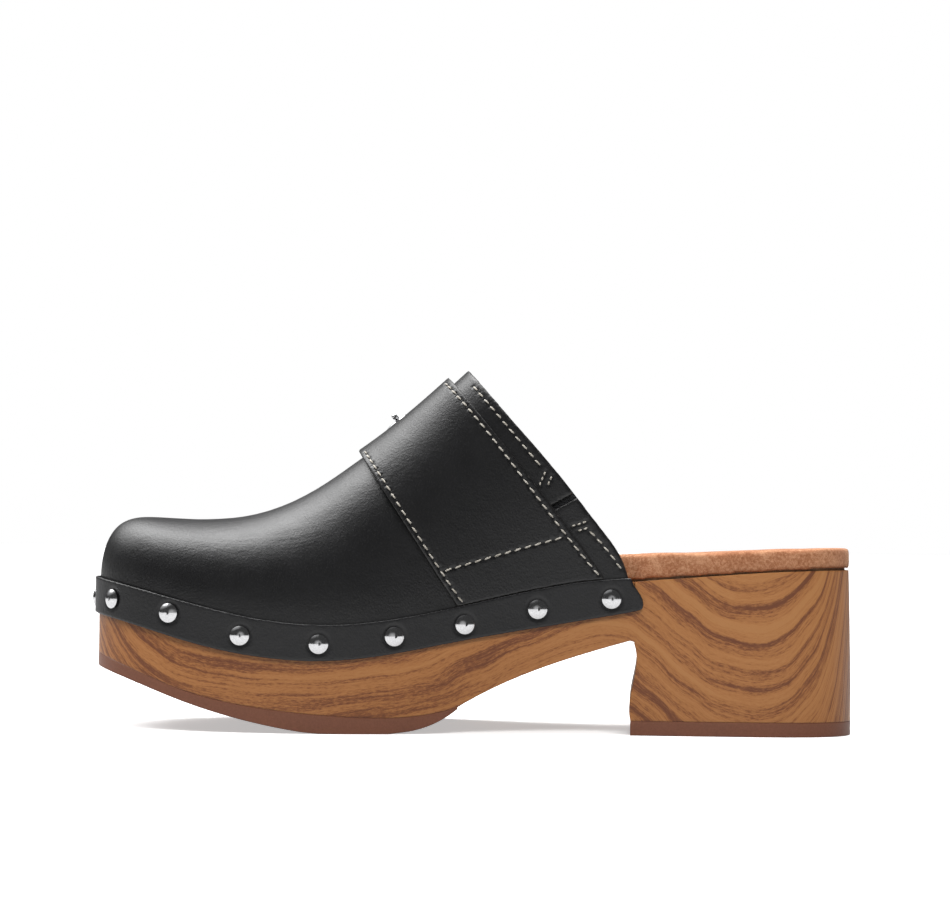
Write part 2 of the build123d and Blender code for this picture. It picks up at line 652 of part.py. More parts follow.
def buckle_chape():
    """Leather folded round the heel bar: a long lower layer sewn to the vamp and a short upper one."""
    inner = BAR_RADIUS + RUNNING
    outer = inner + CHAPE
    tail = 2.4
    fold = Cylinder(outer, 2 * CHAPE_HALF) + Box(tail, 2 * outer, 2 * CHAPE_HALF,
                                                  align=(Align.MAX, Align.CENTER, Align.CENTER))
    fold -= Cylinder(inner, 3 * CHAPE_HALF)
    fold -= Box(3 * tail, 2 * inner, 3 * CHAPE_HALF, align=(Align.MAX, Align.CENTER, Align.CENTER))
    fold = fold.rotate(Axis.X, 90).moved(BUCKLE.location)
    low = BAR_LIFT - outer
    flat = CHAPE_LIFT
    lower = [(BAR_S + 1.5, low, low + CHAPE), (BAR_S + 7, flat + 0.1, flat + 0.1 + CHAPE)]
    lower += [(s, flat, flat + CHAPE) for s in range(46, CHAPE_END + 1, 7)]
    high = BAR_LIFT + inner
    upper = [(BAR_S + 1.5, high, high + CHAPE), (BAR_S + 4, 3.4, 3.4 + CHAPE),
             (BAR_S + 7.5, 1.9, 1.9 + CHAPE), (45.5, 1.6, 1.6 + CHAPE)]
    chape = fold
    for stations in (lower, upper):
        chape += strip([(s, CHAPE_HALF, low, high) for s, low, high in stations])
    slot = Box(7.4, 2 * SLOT_HALF, 7, align=(Align.CENTER, Align.CENTER, Align.CENTER))
    return one(chape - slot.moved(Location((0.3, 0, 0))).moved(BUCKLE.location))


def strap_keeper():
    """Leather loop round the tongue, its lower band lying on the chape."""
    low, high, half = CHAPE_LIFT + CHAPE + 0.1, 5.6, HALF_TONGUE + 0.7
    ring = Box(2 * half + 2, KEEPER_WIDTH, high - low) - Box(2 * half, 2 * KEEPER_WIDTH, high - low - 1.4)
    return one(ring).moved(Location((0, 0, (low + high) / 2))).moved(strap_plane(KEEPER_S).location)


# ---- stitches ---------------------------------------------------------------------------------
PITCH = 3.5
GORE_PITCH = 1.9
STITCH_SHARE = 0.66        # the visible part of each stitch's pitch
STITCH_RADIUS = 0.35


def face_point(x, z, side, grow, foot):
    """The point of the upper's or strap's face at x and z on one side."""
    low, high = (0.0, math.pi / 2) if side < 0 else (math.pi, math.pi / 2)
    for _ in range(40):
        a = (low + high) / 2
        if dome_point(x, a, grow, foot)[2] < z:
            low = a
        else:
            high = a
    return Vector(*dome_point(x, low, grow, foot))


def stitch_row(path, side, grow, foot=None, pitch=PITCH):
    """Stitches lying on a face along the smooth curve through the (x, z) points."""
    lift = STITCH_RADIUS + 0.1
    line = [face_point(x, z, side, grow + lift, None if foot is None else foot + lift)
            for x, z in curve(path, 120)]
    steps = [0.0]
    for first, second in zip(line, line[1:]):
        steps.append(steps[-1] + (second - first).length)
    places = np.array([tuple(point) for point in line])
    made = []
    for i in range(int(steps[-1] / pitch)):
        ends = [i * pitch, i * pitch + STITCH_SHARE * pitch]
        start, end = [Vector(*[float(np.interp(s, steps, places[:, k])) for k in range(3)]) for s in ends]
        made.append(Solid.make_cylinder(STITCH_RADIUS, (end - start).length, Plane(start, z_dir=end - start)))
    return made


def strap_edge_stitching():
    """Rows inside the strap's front and rear edges on the medial side."""
    front = [(x + 1.5, z + 1.0) for x, z in STRAP_FRONT[1:4]] + [(-94.6, 42.4)]
    rear = [(-103.0, 118.6)] + [(x - 1.5, z - 1.2) for x, z in STRAP_REAR[2:4]] + [(-49.4, 52.4)]
    rows = [stitch for path in (front, rear) for stitch in stitch_row(path, -1, STRAP_OUT, STRAP_FOOT)]
    return Compound(rows)


def strap_cross_stitching():
    """The row across the strap's foot that holds it to the vamp."""
    return Compound(stitch_row([(-101.6, 54.4), (-81.5, 60.5), (-61.2, 66.3)], -1, STRAP_OUT, STRAP_FOOT))


def topline_stitching():
    """Rows inside the topline; the medial one stops on either side of the gore."""
    path = [(x - 1.9, z - 1.6) for x, z in TOPLINE[1:6]] + [(-41.6, 53.9)]
    stop, restart = GORE_ROWS[0][0], moved([GORE_ROWS[3][0]], dx=0.9, dz=-1.1)[0]
    halfway = ((path[0][0] + stop[0]) / 2, (path[0][1] + stop[1]) / 2)
    upper = [path[0], halfway, stop]
    lower = [restart, path[4], path[5]]
    rows = []
    for side, points in ((1, path), (-1, upper), (-1, lower)):
        rows += stitch_row(points, side, 0)
    return Compound(rows)


# Rows beside the slit, from the topline forwards, as (x, z).
GORE_ROWS = [[(-68.4, 88.0), (-69.6, 85.4), (-70.6, 82.6)], [(-66.3, 86.5), (-67.4, 83.9), (-68.4, 81.4)],
             [(-54.6, 71.4), (-57.3, 70.4), (-60.2, 69.7)], [(-54.2, 69.2), (-56.8, 68.4), (-59.6, 67.9)]]


def gore_stitching():
    """Two double rows beside the slit that hold the gore."""
    rows = []
    for row in GORE_ROWS:
        rows += stitch_row(row, -1, 0, pitch=GORE_PITCH)
    return Compound(rows)


# ---- build ------------------------------------------------------------------------------------
NODES = [wooden_sole, forefoot_outsole, heel_top_piece, insole_board, footbed_foam, suede_footbed_cover,
         vamp, vamp_lining, toe_puff, elastic_gore, rand, rand_studs, instep_strap, strap_lining,
         buckle_chape, buckle_frame, buckle_prong, strap_keeper, strap_edge_stitching,
         strap_cross_stitching, topline_stitching, gore_stitching]

os.makedirs("parts", exist_ok=True)
for make in NODES:
    export_step(make(), f"parts/{make.__name__}.step")
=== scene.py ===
import math

import bmesh
import bpy
import numpy as np
from mathutils import Matrix, Vector, kdtree, noise
from mathutils.bvhtree import BVHTree


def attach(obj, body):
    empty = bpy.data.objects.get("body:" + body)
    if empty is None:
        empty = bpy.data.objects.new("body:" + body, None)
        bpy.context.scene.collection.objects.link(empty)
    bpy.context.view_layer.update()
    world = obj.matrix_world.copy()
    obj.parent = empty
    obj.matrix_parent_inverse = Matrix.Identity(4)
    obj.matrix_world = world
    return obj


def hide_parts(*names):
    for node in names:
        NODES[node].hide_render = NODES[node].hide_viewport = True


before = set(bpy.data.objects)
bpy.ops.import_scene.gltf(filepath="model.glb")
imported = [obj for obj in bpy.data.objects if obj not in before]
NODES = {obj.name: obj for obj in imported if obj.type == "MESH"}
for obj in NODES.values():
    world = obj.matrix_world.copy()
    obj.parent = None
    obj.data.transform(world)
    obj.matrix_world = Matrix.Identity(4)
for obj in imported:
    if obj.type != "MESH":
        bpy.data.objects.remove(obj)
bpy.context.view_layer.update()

MM = 0.001
HEEL_SIDE = 33.5           # half width of the heel, in millimetres


# ---- meshes ------------------------------------------------------------------------------------
def coordinates(mesh):
    """Vertex positions as an array."""
    values = np.empty(len(mesh.vertices) * 3)
    mesh.vertices.foreach_get("co", values)
    return values.reshape(-1, 3)


def normals(mesh):
    """Vertex normals as an array."""
    values = np.empty(len(mesh.vertices) * 3, dtype=np.float32)
    mesh.vertex_normals.foreach_get("vector", values)
    return values.reshape(-1, 3).astype(float)


def set_coordinates(mesh, points):
    """Writes vertex positions back."""
    mesh.vertices.foreach_set("co", points.astype(np.float32).ravel())
    mesh.update()


def new_object(name, mesh):
    """A smooth-shaded object in the scene."""
    mesh.name = name
    mesh.shade_smooth()
    made = bpy.data.objects.new(name, mesh)
    bpy.context.scene.collection.objects.link(made)
    return made


def node_copy(name, nodes):
    """One new object with copies of the CAD nodes' meshes."""
    builder = bmesh.new()
    for node in nodes:
        builder.from_mesh(NODES[node].data)
    mesh = bpy.data.meshes.new(name)
    builder.to_mesh(mesh)
    builder.free()
    mesh.materials.clear()
    return new_object(name, mesh)


def remeshed(name, nodes, voxel, rounds):
    """The CAD nodes as an even fine mesh with softly rounded edges."""
    draft = node_copy(name + "_draft", nodes)
    grid = draft.modifiers.new("grid", "REMESH")
    grid.mode = "VOXEL"
    grid.voxel_size = voxel * MM
    soft = draft.modifiers.new("soft", "SMOOTH")
    soft.factor = 0.5
    soft.iterations = rounds
    depsgraph = bpy.context.evaluated_depsgraph_get()
    mesh = bpy.data.meshes.new_from_object(draft.evaluated_get(depsgraph))
    bpy.data.objects.remove(draft)
    return new_object(name, mesh)


def ripple(obj, depth, size, seed):
    """Moves the surface in and out a little, as leather that was pulled over a last."""
    points, outwards = coordinates(obj.data), normals(obj.data)
    shift = Vector((seed * 13.7, seed * 5.1, seed * 3.3))
    amount = [noise.noise(Vector(p) / (size * MM) + shift) for p in points]
    set_coordinates(obj.data, points + outwards * (np.array(amount) * depth * MM)[:, None])


def islands(node):
    """The vertex positions of each separate solid in a CAD node."""
    builder = bmesh.new()
    builder.from_mesh(NODES[node].data)
    bmesh.ops.remove_doubles(builder, verts=builder.verts, dist=1e-6)
    builder.verts.ensure_lookup_table()
    seen, found = set(), []
    for start in builder.verts:
        if start.index in seen:
            continue
        seen.add(start.index)
        stack, group = [start], []
        while stack:
            vertex = stack.pop()
            group.append(tuple(vertex.co))
            for edge in vertex.link_edges:
                other = edge.other_vert(vertex)
                if other.index not in seen:
                    seen.add(other.index)
                    stack.append(other)
        found.append(np.array(group))
    builder.free()
    return found


def long_axis(points):
    """(middle, unit direction, half length) of a long group of points."""
    mean = points.mean(0)
    direction = np.linalg.svd(points - mean, full_matrices=False)[2][0]
    along = (points - mean) @ direction
    middle = mean + direction * (along.max() + along.min()) / 2
    return middle, direction, (along.max() - along.min()) / 2


def surface_of(obj):
    """A search tree over an object's faces."""
    builder = bmesh.new()
    builder.from_mesh(obj.data)
    tree = BVHTree.FromBMesh(builder)
    builder.free()
    return tree


# ---- stitches ----------------------------------------------------------------------------------
# Lengths in millimetres.
THREAD_WIDTH = 0.30
THREAD_HEIGHT = 0.22
SLANT = math.radians(7)    # each stitch lies at this angle to its row
RINGS = 15                 # rings of points along a stitch
RING_POINTS = 10
STITCH_RISE = 0.42         # how far a stitch's middle stands above its ends
STITCH_SUNK = 0.30         # how deep its ends lie in the leather
BULGE_POWER = 0.4          # lower is a squarer rise at the ends
PLIES = 3
PLY_DEPTH = 0.10
PLY_TURNS = 14             # radians that the plies twist over one stitch
END_SIZE = 0.45            # share of the thread's width left at a stitch's ends
HOLE_RADIUS = 1.0
HOLE_DEPTH = 0.35


def add_stitch(builder, tree, middle, direction, half):
    """One stitch of twisted thread that lies on the leather and dips into its holes."""
    spot, outwards, _, _ = tree.find_nearest(Vector(middle))
    along = Vector(direction)
    along = (along - outwards * along.dot(outwards)).normalized()
    along = Matrix.Rotation(SLANT, 3, outwards) @ along
    across = outwards.cross(along)
    rows = []
    for i in range(RINGS):
        t = i / (RINGS - 1)
        bulge = math.sin(math.pi * t) ** BULGE_POWER
        rise = outwards * MM * (STITCH_RISE * bulge - STITCH_SUNK)
        point = spot + along * half * (2 * t - 1) + rise
        row = []
        for j in range(RING_POINTS):
            a = 2 * math.pi * j / RING_POINTS
            ply = 1 + PLY_DEPTH * math.cos(PLIES * a + PLY_TURNS * t)
            size = MM * ply * (END_SIZE + (1 - END_SIZE) * bulge)
            offset = across * THREAD_WIDTH * math.cos(a) + outwards * THREAD_HEIGHT * math.sin(a)
            row.append(builder.verts.new(point + offset * size))
        rows.append(row)
    for first, second in zip(rows, rows[1:]):
        for j in range(RING_POINTS):
            k = (j + 1) % RING_POINTS
            builder.faces.new((first[j], first[k], second[k], second[j]))
    builder.faces.new(list(reversed(rows[0])))
    builder.faces.new(rows[-1])
    return [spot - along * half, spot + along * half]


def stitching(node, host, material):
    """Replaces the node's stitches with twisted thread on the host; returns the places of their holes."""
    tree = surface_of(host)
    builder = bmesh.new()
    holes = []
    for island in islands(node):
        middle, direction, half = long_axis(island)
        holes += add_stitch(builder, tree, middle, direction, half)
    bmesh.ops.recalc_face_normals(builder, faces=builder.faces)
    mesh = bpy.data.meshes.new(node + "_thread")
    builder.to_mesh(mesh)
    builder.free()
    obj = new_object(node + "_thread", mesh)
    finish_piece(obj, "clog", material, "pale_thread", node)
    return holes


def press(obj, spots, depth):
    """Sinks the object's surface by depth, a function of the distance to the nearest spot, both in mm."""
    tree = kdtree.KDTree(len(spots))
    for i, spot in enumerate(spots):
        tree.insert(spot, i)
    tree.balance()
    points, outwards = coordinates(obj.data), normals(obj.data)
    for i, point in enumerate(points):
        distance = tree.find(point)[2]
        points[i] -= outwards[i] * depth(distance / MM) * MM
    set_coordinates(obj.data, points)


def hole_depth(distance):
    """A round dent."""
    share = min(1.0, distance / HOLE_RADIUS)
    return HOLE_DEPTH * (1 - share * share) ** 2


# ---- nails -------------------------------------------------------------------------------------
HEAD_RADIUS = 3.3
HEAD_SEAT = 1.5            # the leather's face lies this far under a head's top
HEAD_SUNK = 0.32
HEAD_EDGE = 0.75           # how quickly the dent ends outside the head


def head_depth(distance):
    """A flat dent under a nail's head that fades out round it."""
    past = max(0.0, distance - HEAD_RADIUS)
    return HEAD_SUNK * math.exp(-((past / HEAD_EDGE) ** 2))


def stud_heads():
    """The seat of each nail's head, from the nails' solids: the head is at the wider end."""
    heads = []
    for island in islands("rand_studs"):
        middle, direction, half = long_axis(island)
        along = (island - middle) @ direction
        radius = np.linalg.norm(np.cross(island - middle, direction), axis=1)
        front, back = radius[along > half / 2].max(), radius[along < -half / 2].max()
        if front < back:
            direction = -direction
        heads.append(Vector(middle + direction * (half - HEAD_SEAT * MM)))
    return heads


# ---- materials ---------------------------------------------------------------------------------
def material_nodes(name):
    """A new node material and its tree, with its main shader."""
    material = bpy.data.materials.new(name)
    material.use_nodes = True
    tree = material.node_tree
    return material, tree, tree.nodes["Principled BSDF"]


def add(tree, kind, **values):
    """A node with its properties or inputs set; names with a capital are inputs."""
    made = tree.nodes.new(kind)
    for key, value in values.items():
        if key[0].isupper():
            made.inputs[key.replace("_", " ")].default_value = value
        else:
            setattr(made, key, value)
    return made


def link(tree, source, target):
    """Joins an output to an input."""
    tree.links.new(source, target)


def position(tree):
    """The row frame's position, in millimetres."""
    place = add(tree, "ShaderNodeTexCoord")
    scale = add(tree, "ShaderNodeVectorMath", operation="SCALE")
    scale.inputs["Scale"].default_value = 1000
    link(tree, place.outputs["Object"], scale.inputs[0])
    return scale.outputs[0]


def calc(tree, operation, first, second=None, third=None):
    """A maths node; each operand is a number or an output."""
    node = add(tree, "ShaderNodeMath", operation=operation)
    for i, value in enumerate((first, second, third)):
        if value is None:
            continue
        if isinstance(value, (int, float)):
            node.inputs[i].default_value = value
        else:
            link(tree, value, node.inputs[i])
    return node.outputs[0]


def noise_at(tree, vector, scale, detail=3.0, roughness=0.55, distortion=0.0):
    """Noise over a vector, from 0 to 1."""
    node = add(tree, "ShaderNodeTexNoise", Scale=scale, Detail=detail, Roughness=roughness,
               Distortion=distortion)
    link(tree, vector, node.inputs["Vector"])
    return node.outputs["Fac"]


def ramp(tree, value, *stops):
    """A colour ramp through (position, colour) stops."""
    node = add(tree, "ShaderNodeValToRGB")
    elements = node.color_ramp.elements
    while len(elements) < len(stops):
        elements.new(0.5)
    for element, (place, colour) in zip(elements, stops):
        element.position = place
        element.color = (*colour, 1)
    link(tree, value, node.inputs["Fac"])
    return node.outputs["Color"]


def mix(tree, share, first, second):
    """Mixes two colours, each an output or a colour."""
    node = add(tree, "ShaderNodeMix", data_type="RGBA")
    if isinstance(share, (int, float)):
        node.inputs["Factor"].default_value = share
    else:
        link(tree, share, node.inputs["Factor"])
    for socket, value in ((node.inputs[6], first), (node.inputs[7], second)):
        if isinstance(value, tuple):
            socket.default_value = (*value, 1)
        else:
            link(tree, value, socket)
    return node.outputs[2]


def bump(tree, height, distance, strength=1.0, normal=None):
    """A bump from a height, with its distance in millimetres."""
    node = add(tree, "ShaderNodeBump", Strength=strength, Distance=distance * MM)
    link(tree, height, node.inputs["Height"])
    if normal is not None:
        link(tree, normal, node.inputs["Normal"])
    return node.outputs["Normal"]


def rounded(tree, radius):
    """A normal that rounds sharp edges, with its radius in millimetres."""
    node = add(tree, "ShaderNodeBevel", samples=6, Radius=radius * MM)
    return node.outputs["Normal"]


def leather(name, base, edge, gloss=0.42, grain=0.13):
    """Smooth finished leather: fine grain, faint mottling, and convex edges made lighter, partly as
    lighter cut edges and partly as a painted edge highlight.
    """
    material, tree, shader = material_nodes(name)
    place = position(tree)
    mottled = noise_at(tree, place, 0.09, 4)
    tone = mix(tree, mottled, tuple(c * 0.75 for c in base), tuple(c * 1.3 for c in base))
    # Pointiness lightens convex edges towards the edge colour: partly the leather's lighter cut edges,
    # partly a painted edge highlight.
    edges = add(tree, "ShaderNodeNewGeometry").outputs["Pointiness"]
    cut_edge_and_highlight = calc(tree, "MULTIPLY", ramp(tree, edges, (0.53, (0, 0, 0)), (0.62, (1, 1, 1))), 0.8)
    link(tree, mix(tree, cut_edge_and_highlight, tone, edge), shader.inputs["Base Color"])
    pores = add(tree, "ShaderNodeTexVoronoi", feature="SMOOTH_F1", Scale=1.25)
    link(tree, place, pores.inputs["Vector"])
    fine = noise_at(tree, place, 2.2, 5)
    folds = noise_at(tree, place, 0.35, 3)
    height = calc(tree, "MULTIPLY_ADD", pores.outputs["Distance"], 0.6, fine)
    height = calc(tree, "MULTIPLY_ADD", folds, 0.9, height)
    link(tree, bump(tree, height, grain, 0.6), shader.inputs["Normal"])
    rough = calc(tree, "MULTIPLY_ADD", mottled, 0.14, gloss - 0.07)
    rough = calc(tree, "MULTIPLY_ADD", fine, 0.08, rough)
    link(tree, rough, shader.inputs["Roughness"])
    shader.inputs["Specular IOR Level"].default_value = 0.50
    return material


# How high the wood's grain lines stand along the shoe, as (x, height) in millimetres.
GRAIN = [(-224, 44), (-214, 26), (-200, 12), (-178, 3), (-150, 0), (-122, 2), (-98, 10), (-74, 20),
         (-56, 27), (-44, 29), (-34, 24), (-20, 12), (-4, 4), (8, 5), (20, 14), (29, 30), (36, 55),
         (48, 100)]
GRAIN_SPAN = (-240.0, 80.0)
GRAIN_START = 60.0         # the curve's height where the span starts
GRAIN_TOP = 120.0


def grain_height(tree, along):
    """The grain line's height at a distance along the shoe."""
    low, high = GRAIN_SPAN
    share = calc(tree, "MULTIPLY_ADD", along, 1 / (high - low), -low / (high - low))
    node = add(tree, "ShaderNodeFloatCurve")
    curve = node.mapping.curves[0]
    for x, height in GRAIN:
        curve.points.new((x - low) / (high - low), height / GRAIN_TOP)
    curve.points[0].location = (0, GRAIN_START / GRAIN_TOP)
    curve.points[len(curve.points) - 1].location = (1, 1)
    node.mapping.update()
    link(tree, share, node.inputs["Value"])
    return calc(tree, "MULTIPLY", node.outputs["Value"], GRAIN_TOP)


CORNER_START = 18          # the grain turns across the heel's rear behind this x
CORNER_LENGTH = 18
CORNER_TURN = 0.35
SWAY = 11                  # how far slow noise shifts the grain lines, in millimetres


def grain_space(tree, place):
    """(distance from a grain line, distance along the shoe, y): the wood's own coordinates."""
    parts = add(tree, "ShaderNodeSeparateXYZ")
    link(tree, place, parts.inputs[0])
    x, y, z = parts.outputs
    aside = calc(tree, "SUBTRACT", HEEL_SIDE, calc(tree, "ABSOLUTE", y))
    rear = calc(tree, "MAXIMUM", calc(tree, "SUBTRACT", x, CORNER_START), 0)
    rear = calc(tree, "MINIMUM", calc(tree, "DIVIDE", rear, CORNER_LENGTH), 1)
    turned = calc(tree, "MULTIPLY", calc(tree, "MAXIMUM", aside, 0), rear)
    along = calc(tree, "MULTIPLY_ADD", turned, CORNER_TURN, x)
    sway = calc(tree, "SUBTRACT", noise_at(tree, place, 0.022, 2), 0.5)
    level = calc(tree, "SUBTRACT", z, grain_height(tree, along))
    return calc(tree, "MULTIPLY_ADD", sway, SWAY, level), along, y


def combined(tree, *values):
    """A vector from three outputs, each an output or (output, factor)."""
    node = add(tree, "ShaderNodeCombineXYZ")
    for socket, value in zip(node.inputs, values):
        link(tree, calc(tree, "MULTIPLY", *value) if isinstance(value, tuple) else value, socket)
    return node.outputs[0]


def wood():
    """Oiled tan wood with brown feathered streaks that follow the shoe's curves."""
    material, tree, shader = material_nodes("clog_wood")
    level, along, y = grain_space(tree, position(tree))
    lines = combined(tree, level, (along, 0.030), (y, 0.030))
    bands = noise_at(tree, lines, 0.17, 5, 0.60, 0.3)
    streaks = noise_at(tree, lines, 0.75, 4, 0.65, 0.4)
    fibre = noise_at(tree, combined(tree, (level, 2.6), (along, 0.55), (y, 0.55)), 1.0, 4, 0.7)
    tone = calc(tree, "MULTIPLY_ADD", streaks, 0.55, calc(tree, "MULTIPLY", bands, 1.05))
    tone = calc(tree, "MULTIPLY_ADD", fibre, 0.55, tone)
    tone = calc(tree, "SUBTRACT", tone, 0.58)
    colour = ramp(tree, tone, (0.35, (0.150, 0.046, 0.016)), (0.44, (0.235, 0.082, 0.026)),
                  (0.50, (0.360, 0.142, 0.043)), (0.58, (0.415, 0.172, 0.054)),
                  (0.72, (0.450, 0.200, 0.066)))
    link(tree, colour, shader.inputs["Base Color"])
    link(tree, bump(tree, tone, 0.10, 0.35, rounded(tree, 0.7)), shader.inputs["Normal"])
    link(tree, calc(tree, "MULTIPLY_ADD", fibre, -0.18, 0.56), shader.inputs["Roughness"])
    shader.inputs["Coat Weight"].default_value = 0.10
    shader.inputs["Coat Roughness"].default_value = 0.35
    return material


def rubber():
    """Reddish-brown moulded rubber with a faint speckle."""
    material, tree, shader = material_nodes("clog_rubber")
    place = position(tree)
    speckle = noise_at(tree, place, 1.6, 4)
    cloud = noise_at(tree, place, 0.06, 3)
    colour = ramp(tree, speckle, (0.3, (0.145, 0.051, 0.027)), (0.7, (0.195, 0.073, 0.041)))
    link(tree, mix(tree, calc(tree, "MULTIPLY", cloud, 0.35), colour, (0.28, 0.115, 0.066)),
         shader.inputs["Base Color"])
    link(tree, bump(tree, noise_at(tree, place, 3.0, 4), 0.03, 0.5, rounded(tree, 0.6)),
         shader.inputs["Normal"])
    link(tree, calc(tree, "MULTIPLY_ADD", cloud, 0.15, 0.40), shader.inputs["Roughness"])
    return material


def suede():
    """Tan suede: mottled nap with short fibres."""
    material, tree, shader = material_nodes("clog_suede")
    place = position(tree)
    nap = noise_at(tree, place, 1.0, 6, 0.78)
    brushed = noise_at(tree, place, 0.12, 3)
    tone = calc(tree, "MULTIPLY_ADD", brushed, 0.35, calc(tree, "MULTIPLY", nap, 0.75))
    colour = ramp(tree, tone, (0.38, (0.250, 0.088, 0.036)), (0.52, (0.390, 0.158, 0.074)),
                  (0.66, (0.580, 0.300, 0.165)))
    link(tree, colour, shader.inputs["Base Color"])
    link(tree, bump(tree, nap, 0.35, 0.8), shader.inputs["Normal"])
    shader.inputs["Roughness"].default_value = 0.95
    shader.inputs["Sheen Weight"].default_value = 0.35
    shader.inputs["Sheen Roughness"].default_value = 0.5
    shader.inputs["Sheen Tint"].default_value = (0.9, 0.6, 0.42, 1)
    return material


def metal():
    """Polished nickel plating with hairline wear."""
    material, tree, shader = material_nodes("clog_metal")
    place = position(tree)
    shader.inputs["Metallic"].default_value = 1
    wear = noise_at(tree, place, 2.5, 5)
    link(tree, ramp(tree, wear, (0.3, (0.55, 0.55, 0.56)), (0.7, (0.72, 0.72, 0.73))),
         shader.inputs["Base Color"])
    link(tree, calc(tree, "MULTIPLY_ADD", wear, 0.10, 0.10), shader.inputs["Roughness"])
    link(tree, bump(tree, wear, 0.01, 0.3), shader.inputs["Normal"])
    return material


def thread():
    """Waxed pale thread, twisted from plies."""
    material, tree, shader = material_nodes("clog_thread")
    place = position(tree)
    dirt = noise_at(tree, place, 0.8, 4)
    link(tree, ramp(tree, dirt, (0.3, (0.36, 0.33, 0.28)), (0.65, (0.58, 0.55, 0.49))),
         shader.inputs["Base Color"])
    plies = add(tree, "ShaderNodeTexWave", bands_direction="DIAGONAL", Scale=1.4, Distortion=1.0)
    link(tree, place, plies.inputs["Vector"])
    link(tree, bump(tree, plies.outputs["Fac"], 0.08, 0.7), shader.inputs["Normal"])
    shader.inputs["Roughness"].default_value = 0.75
    return material


def elastic():
    """Woven black elastic."""
    material, tree, shader = material_nodes("clog_elastic")
    place = position(tree)
    ribs = add(tree, "ShaderNodeTexWave", bands_direction="Z", Scale=0.55, Distortion=0.3)
    link(tree, place, ribs.inputs["Vector"])
    link(tree, ramp(tree, ribs.outputs["Fac"], (0.2, (0.006, 0.006, 0.007)), (0.8, (0.03, 0.03, 0.032))),
         shader.inputs["Base Color"])
    link(tree, bump(tree, ribs.outputs["Fac"], 0.25, 0.8), shader.inputs["Normal"])
    shader.inputs["Roughness"].default_value = 0.85
    return material


def fibrous(name, dark, light, scale, depth):
    """A matte core material such as board or foam."""
    material, tree, shader = material_nodes(name)
    place = position(tree)
    cells = noise_at(tree, place, scale, 5, 0.65)
    link(tree, ramp(tree, cells, (0.35, dark), (0.65, light)), shader.inputs["Base Color"])
    link(tree, bump(tree, cells, depth, 0.7), shader.inputs["Normal"])
    shader.inputs["Roughness"].default_value = 0.9
    return material


# ---- pieces ------------------------------------------------------------------------------------
def finish_piece(obj, body, material, slot, *nodes):
    """Gives a new piece its material and body, and hides the CAD nodes it stands for; slot is not used."""
    obj.data.materials.clear()
    obj.data.materials.append(material)
    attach(obj, body)
    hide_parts(*nodes)


def paint(node, material):
    """Puts a material on a CAD node that stays."""
    slots = NODES[node].material_slots
    if not slots:
        NODES[node].data.materials.append(material)
    for slot in slots:
        slot.material = material


BLACK = (0.0062, 0.0062, 0.0067)
# The colour that convex leather edges are lightened towards: a lighter cut edge and a painted edge
# highlight.
EDGE = (0.060, 0.055, 0.052)

wood_material, rubber_material, metal_material = wood(), rubber(), metal()
thread_material, suede_material, elastic_material = thread(), suede(), elastic()
vamp_leather = leather("clog_vamp_leather", BLACK, EDGE, 0.34)
strap_leather = leather("clog_strap_leather", BLACK, EDGE, 0.34)
rand_leather = leather("clog_rand_leather", (0.0075, 0.0075, 0.0082), (0.075, 0.070, 0.068), 0.40)
lining_leather = leather("clog_lining_leather", (0.020, 0.018, 0.017), (0.05, 0.045, 0.04), 0.60, 0.06)
board_material = fibrous("clog_board", (0.20, 0.14, 0.09), (0.34, 0.26, 0.18), 1.5, 0.1)
foam_material = fibrous("clog_foam", (0.60, 0.55, 0.44), (0.78, 0.74, 0.64), 2.5, 0.2)

paint("wooden_sole", wood_material)
for node in ("forefoot_outsole", "heel_top_piece"):
    paint(node, rubber_material)
for node in ("rand_studs", "buckle_frame", "buckle_prong"):
    paint(node, metal_material)
for node in ("insole_board", "toe_puff"):
    paint(node, board_material)
paint("footbed_foam", foam_material)
paint("elastic_gore", elastic_material)

vamp = remeshed("vamp_leather", ["vamp"], 0.6, 6)
ripple(vamp, 0.16, 22, 1)
ripple(vamp, 0.05, 7, 2)
lining = remeshed("lining_leather", ["vamp_lining"], 0.42, 4)
ripple(lining, 0.12, 14, 3)
strap = remeshed("instep_strap_leather", ["instep_strap"], 0.42, 5)
ripple(strap, 0.10, 20, 4)
backing = remeshed("strap_backing", ["strap_lining"], 0.4, 2)
band = remeshed("rand_band", ["rand"], 0.4, 4)
ripple(band, 0.06, 9, 5)
press(band, stud_heads(), head_depth)
chape = remeshed("buckle_chape_leather", ["buckle_chape"], 0.32, 4)
keeper = remeshed("strap_keeper_leather", ["strap_keeper"], 0.25, 4)
footbed = remeshed("suede_footbed", ["suede_footbed_cover", "footbed_foam"], 0.8, 14)
ripple(footbed, 0.35, 16, 6)

on_vamp = stitching("topline_stitching", vamp, thread_material)
on_vamp += stitching("gore_stitching", vamp, thread_material)
on_strap = stitching("strap_edge_stitching", strap, thread_material)
on_strap += stitching("strap_cross_stitching", strap, thread_material)
press(vamp, on_vamp, hole_depth)
press(strap, on_strap, hole_depth)

finish_piece(vamp, "clog", vamp_leather, "black_leather", "vamp")
finish_piece(lining, "clog", lining_leather, "lining_leather", "vamp_lining")
finish_piece(strap, "clog", strap_leather, "strap_leather", "instep_strap")
finish_piece(backing, "clog", lining_leather, "lining_leather", "strap_lining")
finish_piece(band, "clog", rand_leather, "rand_leather", "rand")
finish_piece(chape, "clog", strap_leather, "strap_leather", "buckle_chape")
finish_piece(keeper, "clog", strap_leather, "strap_leather", "strap_keeper")
finish_piece(footbed, "clog", suede_material, "suede", "suede_footbed_cover")


